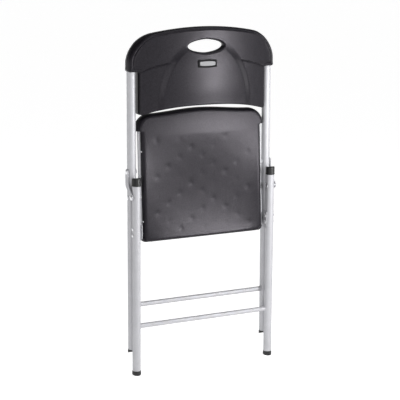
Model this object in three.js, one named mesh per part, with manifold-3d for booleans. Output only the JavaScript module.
// Steel-framed folding chair with a moulded plastic seat and backrest, modelled folded flat and upright.
// Units are millimetres. +Z is up, +X is the sitter's left, -Y is the side the sitter faces.
// The front frame's tubes stand upright on the plane "tube plane"; every depth below is measured from it,
// and the finished group is shifted so that the origin is under the middle of the folded chair.
import * as THREE from 'three';
import { mergeVertices } from 'three/addons/utils/BufferGeometryUtils.js';
import Module from 'manifold-3d';

const wasm = await Module();
wasm.setup();

// ---- driving dimensions -------------------------------------------------------------------------------
const GAP = 0.3; // air left between pieces that touch
const ROUND_SIDES = 24; // facets round a tube
const RIVET_SIDES = 14;
const DEPTH_CENTRE = 15.2; // from the tube plane to the middle of the folded chair's depth

const FRONT = { half: 218.5, radius: 12.7, wall: 1.2, bottom: 70.7, top: 914, rungZ: 202, rungRadius: 7 };
const REAR = { half: 218, radius: 12, wall: 1.2, bottom: 13.5, top: 555.6, rungZ: 146, rungRadius: 7 };
const REAR_FOOT_DEPTH = 26; // the rear tubes' axis behind the tube plane, at the floor
const REAR_SLOPE = 5 / 600; // how far the rear tubes lean away from the front tubes, per millimetre up

// The open chair: lean of each frame from upright, which sets the slant of the soles.
const FRONT_LEAN = THREE.MathUtils.degToRad(24.46);
const REAR_LEAN = THREE.MathUtils.degToRad(9.72);
const FOOT = { plug: 26, frontFlange: 13.9, frontHeight: 13.7, rearFlange: 13.2, rearHeight: 13.39 };
const CAP = { plug: 20, rim: 13, ring: 13.5, ringTop: 3.4, height: 23.2, corner: 15 };

// Pivots of the folding linkage, as depth and height in the folded pose.
const SEAT_PIVOT = { y: 0, z: 518 }; // seat rail on the front tube
const BRACKET_PIVOT = { y: 7, z: 424 }; // seat rail on the rear tube's bracket
const LINK_TOP = { y: 0, z: 592.5 }; // link on the front tube
const LINK_END = { z: 523 }; // link on the rear tube, on its axis
const LINK = { bendY: 0.5, bendZ: 556, halfWidth: 8.5, inner: 231.5, outer: 234.5 };

// The seat is drawn lying in its own plane: x across, y out of the sitting face, z towards its front edge.
const SEAT_TILT = THREE.MathUtils.degToRad(2.9); // lean of the folded seat towards the tube plane
const SEAT = {
  top: 25.5, edge: 13.5, under: 4, halfWidth: 193, coreHalf: 184.5, rear: -130, front: 245,
  earHalf: 204, earBack: 188, earUnder: -6, tailHalf: 197, tailFront: -115.2, tailUnder: 2, bow: 10,
  cornerFront: 34, cornerRear: 22, round: 9,
};
const RAIL = { outer: 200, inner: 185.6, top: 13.2, bottom: -9.2, wall: 1.8, rear: -114.8, front: 187.6 };
const SEAT_SCREWS = [-70, 130]; // places along the rail

const HOLE = { pivot: 4.3, rivet: 3.3, bush: 5.3, screw: 2.2 }; // radii
const BRACKET = {
  inner: 203.2, outer: 205.4, bottom: 402, top: 444, rearReach: 9, rivets: [413, 432], end: 11,
};

const BACK = {
  half: 235.5, top: 996.5, sleeveBottom: 874.6, crown: 0.00059, cornerFrom: 168, cornerDrop: 63,
  panelHalf: 200, panelBottom: 752, arch: 22.5, edgeRound: 12,
  rear: 24, front: -16.2, bowHalf: 205, bowRear: 15, bowFront: 20,
  panelRear: 21.5, panelFront: -7, panelBow: 17,
  domeHalf: 145, domeTop: 964, domeBase: 780, domeRise: 10,
};
const HANDLE = { half: 59.5, z: 943, up: 20, down: 19.5 };
const BADGE = { half: 28, halfHeight: 10, z: 890, thick: 1.6, seat: 46.9 };

const COLOURS = { steel: 0xc9cacf, plastic: 0x3d3b41, black: 0x1b1b1d, rivet: 0xb6b8bd, badge: 0x9a9ca1 };

// ---- helpers ------------------------------------------------------------------------------------------
function solid(geometry) {
  const bare = geometry.clone();
  for (const name of ['normal', 'uv', 'uv1']) bare.deleteAttribute(name);
  const merged = mergeVertices(bare, 1e-4);
  return new wasm.Manifold(new wasm.Mesh({
    numProp: 3,
    vertProperties: new Float32Array(merged.attributes.position.array),
    triVerts: new Uint32Array(merged.index.array),
  }));
}

function surface(body) {
  const mesh = body.getMesh();
  const geometry = new THREE.BufferGeometry();
  geometry.setAttribute('position', new THREE.BufferAttribute(new Float32Array(mesh.vertProperties), 3));
  geometry.setIndex(new THREE.BufferAttribute(new Uint32Array(mesh.triVerts), 1));
  geometry.computeVertexNormals();
  return geometry;
}

const join = (bodies) => bodies.reduce((sum, body) => sum.add(body));
const cut = (body, tools) => tools.reduce((rest, tool) => rest.subtract(tool), body);

function material(colour, metalness, roughness) {
  return new THREE.MeshStandardMaterial({ color: colour, metalness, roughness });
}

const MATERIALS = {
  steel: material(COLOURS.steel, 0.5, 0.4),
  plastic: material(COLOURS.plastic, 0, 0.6),
  black: material(COLOURS.black, 0, 0.5),
  rivet: material(COLOURS.rivet, 0.8, 0.35),
  badge: material(COLOURS.badge, 0.6, 0.4),
};

function piece(name, body, look) {
  const mesh = new THREE.Mesh(surface(body), MATERIALS[look]);
  mesh.name = name;
  return mesh;
}

// A solid of revolution about Z through (x, y), from a profile of [radius, height] points that starts and
// ends on the axis, or that closes on itself.
function turned(profile, x, y, sides = ROUND_SIDES) {
  const points = profile.map(([radius, height]) => new THREE.Vector2(radius, height));
  const geometry = new THREE.LatheGeometry(points, sides);
  geometry.rotateX(Math.PI / 2);
  return solid(geometry.translate(x, y, 0));
}

function pipe(x, y, radius, wall, bottom, top) {
  const inner = radius - wall;
  return turned([[inner, bottom], [radius, bottom], [radius, top], [inner, top], [inner, bottom]], x, y);
}

// A round pin along X between two places, given as [radius, x] steps from one end to the other.
function pin(steps, y, z, sides = RIVET_SIDES) {
  const ordered = steps[0][1] < steps[steps.length - 1][1] ? steps : [...steps].reverse();
  const profile = [[0, ordered[0][1]], ...ordered, [0, ordered[ordered.length - 1][1]]];
  const points = profile.map(([radius, x]) => new THREE.Vector2(radius, x));
  const geometry = new THREE.LatheGeometry(points, sides);
  geometry.rotateZ(-Math.PI / 2);
  return solid(geometry.translate(0, y, z));
}

// The same pin on either side of the chair: side is +1 on the left and -1 on the right.
const sidePin = (side, steps, y, z) => pin(steps.map(([radius, x]) => [radius, side * x]), y, z);

// A plate in the Y-Z plane, between two places along X.
function plate(shape, xa, xb) {
  const geometry = new THREE.ExtrudeGeometry(shape, {
    depth: Math.abs(xb - xa), bevelEnabled: false, curveSegments: 8,
  });
  const turn = new THREE.Matrix4().makeBasis(
    new THREE.Vector3(0, 1, 0), new THREE.Vector3(0, 0, 1), new THREE.Vector3(1, 0, 0),
  );
  geometry.applyMatrix4(turn);
  return solid(geometry.translate(Math.min(xa, xb), 0, 0));
}

// The outline swept by a disc that travels along a line of points.
function roundedStrip(points, radius) {
  const shape = new THREE.Shape();
  const heading = (a, b) => Math.atan2(b[1] - a[1], b[0] - a[0]);
  const last = points.length - 1;
  const headings = points.slice(1).map((point, i) => heading(points[i], point));
  const offset = (point, angle) => [
    point[0] + radius * Math.cos(angle),
    point[1] + radius * Math.sin(angle),
  ];
  const start = offset(points[0], headings[0] - Math.PI / 2);
  shape.moveTo(...start);
  const bend = (i, turn) => shape.lineTo(...offset(points[i], (headings[i - 1] + headings[i]) / 2 + turn));
  const quarter = Math.PI / 2;
  for (let i = 1; i < last; i += 1) bend(i, -quarter);
  shape.absarc(...points[last], radius, headings[last - 1] - quarter, headings[last - 1] + quarter, false);
  for (let i = last - 1; i > 0; i -= 1) bend(i, quarter);
  shape.absarc(...points[0], radius, headings[0] + quarter, headings[0] + 3 * quarter, false);
  return shape;
}

// A slab drawn in the seat's plane (x across, y towards the front) and raised from low to high, with its
// upper edge rounded where round is given.
function seatSlab(shape, low, high, round = 0) {
  const geometry = new THREE.ExtrudeGeometry(shape, {
    depth: high - low, bevelEnabled: round > 0, bevelThickness: round, bevelSize: round,
    bevelOffset: -round, bevelSegments: 3, curveSegments: 6,
  });
  geometry.rotateX(Math.PI / 2);
  const body = solid(geometry.translate(0, high - round, 0));
  const size = 1000;
  return cut(body, [solid(new THREE.BoxGeometry(size, size, size).translate(0, low - size / 2, 0))]);
}

// A closed slab between a front and a rear surface, over columns across X and rows up Z.
function slab(columns, rows, bottom, top, front, rear) {
  const positions = [];
  const index = (i, k, face) => (i * rows.length + k) * 2 + face;
  for (const x of columns) {
    for (const row of rows) {
      const z = bottom(x) + row * (top(x) - bottom(x));
      positions.push(x, front(x, z), z, x, rear(x, z), z);
    }
  }
  const triangles = [];
  const quad = (a, b, c, d) => triangles.push(a, b, c, a, c, d);
  const lastColumn = columns.length - 1;
  const lastRow = rows.length - 1;
  for (let i = 0; i < lastColumn; i += 1) {
    for (let k = 0; k < lastRow; k += 1) {
      quad(index(i, k, 0), index(i + 1, k, 0), index(i + 1, k + 1, 0), index(i, k + 1, 0));
      quad(index(i, k, 1), index(i, k + 1, 1), index(i + 1, k + 1, 1), index(i + 1, k, 1));
    }
    quad(index(i, 0, 0), index(i, 0, 1), index(i + 1, 0, 1), index(i + 1, 0, 0));
    quad(index(i, lastRow, 0), index(i + 1, lastRow, 0), index(i + 1, lastRow, 1), index(i, lastRow, 1));
  }
  for (let k = 0; k < lastRow; k += 1) {
    quad(index(0, k, 0), index(0, k + 1, 0), index(0, k + 1, 1), index(0, k, 1));
    quad(
      index(lastColumn, k, 0), index(lastColumn, k, 1),
      index(lastColumn, k + 1, 1), index(lastColumn, k + 1, 0),
    );
  }
  const geometry = new THREE.BufferGeometry();
  geometry.setAttribute('position', new THREE.Float32BufferAttribute(positions, 3));
  geometry.setIndex(triangles);
  return solid(geometry);
}

const evenly = (from, to, count) =>
  Array.from({ length: count + 1 }, (_, i) => from + ((to - from) * i) / count);

// ---- tubes, rungs and feet ----------------------------------------------------------------------------
function tube(side, frame, holes) {
  const body = pipe(side * frame.half, 0, frame.radius, frame.wall, frame.bottom, frame.top);
  return cut(body, holes);
}

function rung(frame) {
  const reach = frame.half - 4;
  const bar = pin([[frame.rungRadius, -reach], [frame.rungRadius, reach]], 0, frame.rungZ, 20);
  const margin = 20;
  const clearance = [-1, 1].map((side) => turned([
    [0, frame.rungZ - margin], [frame.radius + GAP, frame.rungZ - margin],
    [frame.radius + GAP, frame.rungZ + margin], [0, frame.rungZ + margin],
  ], side * frame.half, 0));
  return cut(bar, clearance);
}

// A plastic foot: a flange with a sole slanted by lean, and a plug that sits in the tube.
function foot(side, frame, flange, height, lean) {
  const low = frame.bottom - height;
  const joint = frame.bottom - GAP;
  const plug = frame.radius - frame.wall - GAP;
  const reach = 60;
  const body = turned([
    [0, low - reach], [flange, low - reach], [flange, joint], [plug, joint], [plug, joint + FOOT.plug],
    [0, joint + FOOT.plug],
  ], side * frame.half, 0);
  const below = new THREE.BoxGeometry(reach, 3 * reach, 3 * reach).translate(0, 0, -1.5 * reach);
  below.rotateX(lean);
  below.translate(side * frame.half, -Math.sign(lean) * flange, low);
  return cut(body, [solid(below)]);
}

// ---- front frame --------------------------------------------------------------------------------------
// The top edge: a shallow crown that runs into a quarter of an ellipse at each corner.
function backTop(x) {
  const corner = Math.max(Math.abs(x) - BACK.cornerFrom, 0) / (BACK.half - BACK.cornerFrom);
  const drop = 1 - Math.sqrt(Math.max(1 - corner * corner, 0));
  return BACK.top - BACK.crown * x * x - BACK.cornerDrop * drop;
}

const bow = (x) => Math.max(1 - (x / BACK.bowHalf) ** 2, 0);

// How far a surface is drawn in near the top edge, so that the edge is rounded.
function drawnIn(x, z) {
  const depth = Math.min(Math.max((z - (backTop(x) - BACK.edgeRound)) / BACK.edgeRound, 0), 1);
  return BACK.edgeRound * (1 - Math.sqrt(1 - depth * depth));
}

function dome(x, z) {
  const up = Math.max((z - BACK.domeBase) / (BACK.domeTop - BACK.domeBase), 0);
  const reach = Math.hypot(x / BACK.domeHalf, up);
  return BACK.domeRise * THREE.MathUtils.smoothstep(1.04 - reach, 0, 0.3);
}

function backrest() {
  const hood = slab(
    evenly(-1, 1, 30).map((t) => BACK.half * Math.sin((t * Math.PI) / 2)),
    [0, 0.35, 0.7, 0.86, 0.94, 1],
    () => BACK.sleeveBottom, backTop,
    (x, z) => BACK.front + BACK.bowFront * bow(x) + drawnIn(x, z),
    (x, z) => BACK.rear + BACK.bowRear * bow(x) - drawnIn(x, z),
  );
  const panel = slab(
    evenly(-BACK.panelHalf, BACK.panelHalf, 26), evenly(0, 1, 9),
    (x) => BACK.panelBottom + BACK.arch * (1 - (x / BACK.panelHalf) ** 2), () => HANDLE.z,
    (x) => BACK.panelFront + BACK.panelBow * bow(x),
    (x, z) => BACK.panelRear + BACK.bowRear * bow(x) + dome(x, z),
  );
  const sockets = [-1, 1].map((side) => turned([
    [0, BACK.panelBottom - 20], [FRONT.radius + GAP, BACK.panelBottom - 20],
    [FRONT.radius + GAP, FRONT.top + GAP], [0, FRONT.top + GAP],
  ], side * FRONT.half, 0));
  const lens = new THREE.Shape();
  lens.moveTo(-HANDLE.half, HANDLE.z);
  lens.quadraticCurveTo(0, HANDLE.z - 2 * HANDLE.down, HANDLE.half, HANDLE.z);
  lens.quadraticCurveTo(0, HANDLE.z + 2 * HANDLE.up, -HANDLE.half, HANDLE.z);
  const hole = new THREE.ExtrudeGeometry(lens, { depth: 140, bevelEnabled: false, curveSegments: 12 });
  hole.rotateX(Math.PI / 2);
  hole.translate(0, 70, 0);
  return cut(join([hood, panel]), [...sockets, solid(hole)]);
}

function badge() {
  const face = new THREE.Shape();
  const { half, halfHeight, z } = BADGE;
  face.moveTo(-half, z - halfHeight + 2);
  face.quadraticCurveTo(0, z - halfHeight - 2, half, z - halfHeight + 2);
  face.lineTo(half, z + halfHeight - 2);
  face.quadraticCurveTo(0, z + halfHeight + 2, -half, z + halfHeight - 2);
  face.closePath();
  const geometry = new THREE.ExtrudeGeometry(face, {
    depth: BADGE.thick,
    bevelEnabled: false,
    curveSegments: 8,
  });
  geometry.rotateX(Math.PI / 2);
  return solid(geometry.translate(0, BADGE.seat + BADGE.thick, 0));
}

function frontFrame() {
  const group = new THREE.Group();
  for (const [side, name] of [[1, 'left'], [-1, 'right']]) {
    const outer = FRONT.half + FRONT.radius;
    const inner = FRONT.half - FRONT.radius;
    const through = [[HOLE.pivot, inner - 5], [HOLE.pivot, outer + 5]];
    const seatHole = sidePin(side, through, SEAT_PIVOT.y, SEAT_PIVOT.z);
    const linkHole = sidePin(side, through, LINK_TOP.y, LINK_TOP.z);
    group.add(piece(`front_tube_${name}`, tube(side, FRONT, [seatHole, linkHole]), 'steel'));
    const sole = foot(side, FRONT, FOOT.frontFlange, FOOT.frontHeight, FRONT_LEAN);
    group.add(piece(`front_foot_${name}`, sole, 'black'));
    group.add(piece(`seat_pivot_rivet_${name}`, sidePin(side, [
      [6.5, RAIL.outer - RAIL.wall - GAP - 2], [6.5, RAIL.outer - RAIL.wall - GAP],
      [4, RAIL.outer - RAIL.wall - GAP], [4, outer + GAP], [6.5, outer + GAP], [6, outer + 1.6],
    ], SEAT_PIVOT.y, SEAT_PIVOT.z), 'rivet'));
    group.add(piece(`link_pivot_rivet_${name}`, sidePin(side, [
      [5, inner - 2], [6.5, inner - GAP], [4, inner - GAP], [4, LINK.outer + GAP], [7, LINK.outer + GAP],
      [4.5, LINK.outer + 2.4],
    ], LINK_TOP.y, LINK_TOP.z), 'rivet'));
  }
  group.add(piece('front_rung', rung(FRONT), 'steel'));
  group.add(piece('backrest', backrest(), 'plastic'));
  group.add(piece('backrest_badge', badge(), 'badge'));
  return group;
}

// ---- seat ---------------------------------------------------------------------------------------------
function seatOutline() {
  const shape = new THREE.Shape();
  const { halfWidth: w, rear, cornerRear: r } = SEAT;
  const front = SEAT.earBack + 2;
  shape.moveTo(-w + r, rear);
  shape.lineTo(w - r, rear);
  shape.absarc(w - r, rear + r, r, -Math.PI / 2, 0, false);
  shape.lineTo(w, front);
  shape.lineTo(-w, front);
  shape.lineTo(-w, rear + r);
  shape.absarc(-w + r, rear + r, r, Math.PI, 1.5 * Math.PI, false);
  return shape;
}

function earOutline() {
  const shape = new THREE.Shape();
  const { earHalf: w, earBack: back, front, bow: rise, cornerFront: r } = SEAT;
  const side = front - rise;
  shape.moveTo(-w, back);
  shape.lineTo(w, back);
  shape.lineTo(w, side - r);
  shape.absarc(w - r, side - r, r, 0, Math.PI / 2, false);
  shape.quadraticCurveTo(0, side + 2 * rise, -w + r, side);
  shape.absarc(-w + r, side - r, r, Math.PI / 2, Math.PI, false);
  return shape;
}

function bar(xHalf, zLow, zHigh, round) {
  const shape = new THREE.Shape();
  shape.moveTo(-xHalf + round, zLow);
  shape.lineTo(xHalf - round, zLow);
  shape.absarc(xHalf - round, zLow + round, round, -Math.PI / 2, 0, false);
  shape.lineTo(xHalf, zHigh);
  shape.lineTo(-xHalf, zHigh);
  shape.absarc(-xHalf + round, zLow + round, round, Math.PI, 1.5 * Math.PI, false);
  return shape;
}

function seatPanel() {
  return join([
    seatSlab(seatOutline(), SEAT.edge, SEAT.top, SEAT.round),
    seatSlab(bar(SEAT.coreHalf, SEAT.rear + 6, SEAT.earBack + 5, 16), SEAT.under, SEAT.edge + 2),
    seatSlab(earOutline(), SEAT.earUnder, SEAT.top, SEAT.round),
    seatSlab(bar(SEAT.tailHalf, SEAT.rear, SEAT.tailFront, 12), SEAT.tailUnder, SEAT.top - SEAT.round),
  ]);
}

// A C-section rail, open towards the middle of the seat.
function seatRail(side, holes) {
  const { outer, inner, top, bottom, wall } = RAIL;
  const corners = [
    [inner, top], [outer, top], [outer, bottom], [inner, bottom], [inner, bottom + wall],
    [outer - wall, bottom + wall], [outer - wall, top - wall], [inner, top - wall],
  ];
  const shape = new THREE.Shape(corners.map(([x, y]) => new THREE.Vector2(side * x, y)));
  const geometry = new THREE.ExtrudeGeometry(shape, { depth: RAIL.front - RAIL.rear, bevelEnabled: false });
  return cut(solid(geometry.translate(0, 0, RAIL.rear)), holes);
}

// A pan-head screw that points out of the sitting face, from below the rail's flange.
function seatScrew(side, place) {
  const x = side * ((RAIL.inner + RAIL.outer - RAIL.wall) / 2);
  const head = RAIL.top - RAIL.wall - GAP;
  const profile = [
    [0, head - 2.4], [3, head - 2.4], [4, head], [1.9, head], [1.9, head + 8], [0, head + 9.5],
  ];
  const points = profile.map(([radius, height]) => new THREE.Vector2(radius, height));
  return solid(new THREE.LatheGeometry(points, 12).translate(x, 0, place));
}

function screwHole(side, place) {
  const x = side * ((RAIL.inner + RAIL.outer - RAIL.wall) / 2);
  const hole = new THREE.CylinderGeometry(HOLE.screw, HOLE.screw, 14, 12);
  return solid(hole.translate(x, RAIL.top + 1.5, place));
}

function seat() {
  const group = new THREE.Group();
  group.position.set(0, SEAT_PIVOT.y, SEAT_PIVOT.z);
  group.rotation.x = SEAT_TILT;
  const back = new THREE.Vector2(BRACKET_PIVOT.y - SEAT_PIVOT.y, BRACKET_PIVOT.z - SEAT_PIVOT.z);
  back.rotateAround(new THREE.Vector2(), -SEAT_TILT);
  const screwHoles = [];
  for (const [side, name] of [[1, 'left'], [-1, 'right']]) {
    const holes = SEAT_SCREWS.map((place) => screwHole(side, place));
    screwHoles.push(...holes);
    const reach = [[HOLE.pivot, RAIL.outer - 5], [HOLE.pivot, RAIL.outer + 5]];
    const pivots = [sidePin(side, reach, 0, 0), sidePin(side, reach, back.x, back.y)];
    group.add(piece(`seat_rail_${name}`, seatRail(side, [...pivots, ...holes]), 'steel'));
    group.add(piece(`seat_spacer_${name}`, cut(
      sidePin(side, [[8, RAIL.outer + GAP], [8, FRONT.half - FRONT.radius - GAP]], 0, 0),
      [sidePin(side, reach.map(([radius, x]) => [radius, x + 5]), 0, 0)],
    ), 'black'));
    group.add(piece(`bracket_washer_${name}`, cut(
      sidePin(side, [[9, RAIL.outer + GAP], [9, BRACKET.inner - GAP]], back.x, back.y),
      [sidePin(side, reach, back.x, back.y)],
    ), 'black'));
    SEAT_SCREWS.forEach((place, i) => {
      group.add(piece(`seat_screw_${name}_${i === 0 ? 'rear' : 'front'}`, seatScrew(side, place), 'rivet'));
    });
  }
  group.add(piece('seat_panel', cut(seatPanel(), screwHoles), 'plastic'));
  return group;
}

// ---- rear frame ---------------------------------------------------------------------------------------
// The rear frame is drawn upright on its own tubes' axis plane, then leaned and moved back as a group.
const rearAngle = -Math.atan(REAR_SLOPE);
function toRear(y, z) {
  return new THREE.Vector2(y - REAR_FOOT_DEPTH, z).rotateAround(new THREE.Vector2(), -rearAngle);
}

// The end cap of a rear tube, rounded over on the side that passes behind the front tube.
function rearCap(side) {
  const { top, radius, wall } = REAR;
  const { rim, ring, ringTop, height, corner: curve } = CAP;
  const plug = radius - wall - GAP;
  const end = top + height;
  const body = turned([
    [0, top - CAP.plug], [plug, top - CAP.plug], [plug, top + GAP],
    [ring, top + GAP], [ring, top + ringTop],
    [rim, top + ringTop + 0.4], [rim, end - 1], [rim - 1, end], [0, end],
  ], side * REAR.half, 0);
  const margin = 4;
  const corner = new THREE.Shape();
  corner.moveTo(-rim - margin, end - curve);
  corner.lineTo(-rim, end - curve);
  corner.absarc(-rim + curve, end - curve, curve, Math.PI, Math.PI / 2, true);
  corner.lineTo(-rim + curve, end + margin);
  corner.lineTo(-rim - margin, end + margin);
  corner.closePath();
  return cut(body, [plate(corner, side * REAR.half - rim - margin, side * REAR.half + rim + margin)]);
}

function seatBracket(side, pivot, rivetHoles) {
  const shape = new THREE.Shape();
  const { bottom, top, rearReach, end } = BRACKET;
  shape.moveTo(rearReach, bottom);
  shape.lineTo(rearReach, top);
  shape.lineTo(-rearReach, top);
  shape.lineTo(pivot.x, pivot.y + end);
  shape.absarc(pivot.x, pivot.y, end, Math.PI / 2, 1.5 * Math.PI, false);
  shape.lineTo(-rearReach, bottom);
  shape.closePath();
  return cut(plate(shape, side * BRACKET.inner, side * BRACKET.outer), rivetHoles);
}

function rearFrame() {
  const group = new THREE.Group();
  group.position.y = REAR_FOOT_DEPTH;
  group.rotation.x = rearAngle;
  const pivot = toRear(BRACKET_PIVOT.y, BRACKET_PIVOT.z);
  const outer = REAR.half + REAR.radius;
  const inner = REAR.half - REAR.radius;
  for (const [side, name] of [[1, 'left'], [-1, 'right']]) {
    const rivetSpan = [[HOLE.rivet, BRACKET.inner - 5], [HOLE.rivet, outer + 5]];
    const rivetHole = (z) => sidePin(side, rivetSpan, 0, z);
    const bushHole = sidePin(side, [[HOLE.bush, inner - 5], [HOLE.bush, outer + 5]], 0, LINK_END.z);
    const holes = BRACKET.rivets.map(rivetHole);
    const through = [[HOLE.pivot, BRACKET.inner - 5], [HOLE.pivot, BRACKET.outer + 5]];
    const pivotHole = sidePin(side, through, pivot.x, pivot.y);
    group.add(piece(`rear_tube_${name}`, tube(side, REAR, [...holes, bushHole]), 'steel'));
    const sole = foot(side, REAR, FOOT.rearFlange, FOOT.rearHeight, -REAR_LEAN);
    group.add(piece(`rear_foot_${name}`, sole, 'black'));
    group.add(piece(`rear_cap_${name}`, rearCap(side), 'black'));
    group.add(piece(`seat_bracket_${name}`, seatBracket(side, pivot, [pivotHole, ...holes]), 'steel'));
    group.add(piece(`bracket_pivot_rivet_${name}`, sidePin(side, [
      [5.5, RAIL.outer - RAIL.wall - GAP - 2], [6.5, RAIL.outer - RAIL.wall - GAP],
      [4, RAIL.outer - RAIL.wall - GAP], [4, BRACKET.outer + 0.1],
    ], pivot.x, pivot.y), 'rivet'));
    BRACKET.rivets.forEach((z, i) => {
      group.add(piece(`bracket_rivet_${name}_${i === 0 ? 'lower' : 'upper'}`, sidePin(side, [
        [3.4, BRACKET.inner - 1.6], [4.6, BRACKET.inner - GAP], [3, BRACKET.inner - GAP], [3, outer + GAP],
        [4.6, outer + GAP], [3.4, outer + 1.5],
      ], 0, z), 'rivet'));
    });
    group.add(piece(`link_bush_${name}`, sidePin(side, [
      [5, inner - 1.8], [7, inner - GAP], [5, inner - GAP], [5, outer - 0.2],
    ], 0, LINK_END.z), 'rivet'));
  }
  group.add(piece('rear_rung', rung(REAR), 'steel'));
  return group;
}

// ---- links --------------------------------------------------------------------------------------------
function links() {
  const group = new THREE.Group();
  const end = [REAR_FOOT_DEPTH + LINK_END.z * REAR_SLOPE, LINK_END.z];
  const line = [[LINK_TOP.y, LINK_TOP.z], [LINK.bendY, LINK.bendZ], end];
  const outer = REAR.half + REAR.radius;
  for (const [side, name] of [[1, 'left'], [-1, 'right']]) {
    const reach = [[HOLE.pivot, LINK.inner - 5], [HOLE.pivot, LINK.outer + 5]];
    const holes = [line[0], line[2]].map(([y, z]) => sidePin(side, reach, y, z));
    const strip = plate(roundedStrip(line, LINK.halfWidth), side * LINK.inner, side * LINK.outer);
    group.add(piece(`link_${name}`, cut(strip, holes), 'steel'));
    group.add(piece(`link_end_rivet_${name}`, sidePin(side, [
      [6, outer + GAP], [6, LINK.inner - GAP], [4, LINK.inner - GAP], [4, LINK.outer + GAP],
      [6.5, LINK.outer + GAP], [4.5, LINK.outer + 2.4],
    ], ...line[2]), 'rivet'));
  }
  return group;
}

// ---- the chair ----------------------------------------------------------------------------------------
const chair = new THREE.Group();
chair.position.y = -DEPTH_CENTRE;
chair.add(frontFrame(), seat(), rearFrame(), links());

export default chair;
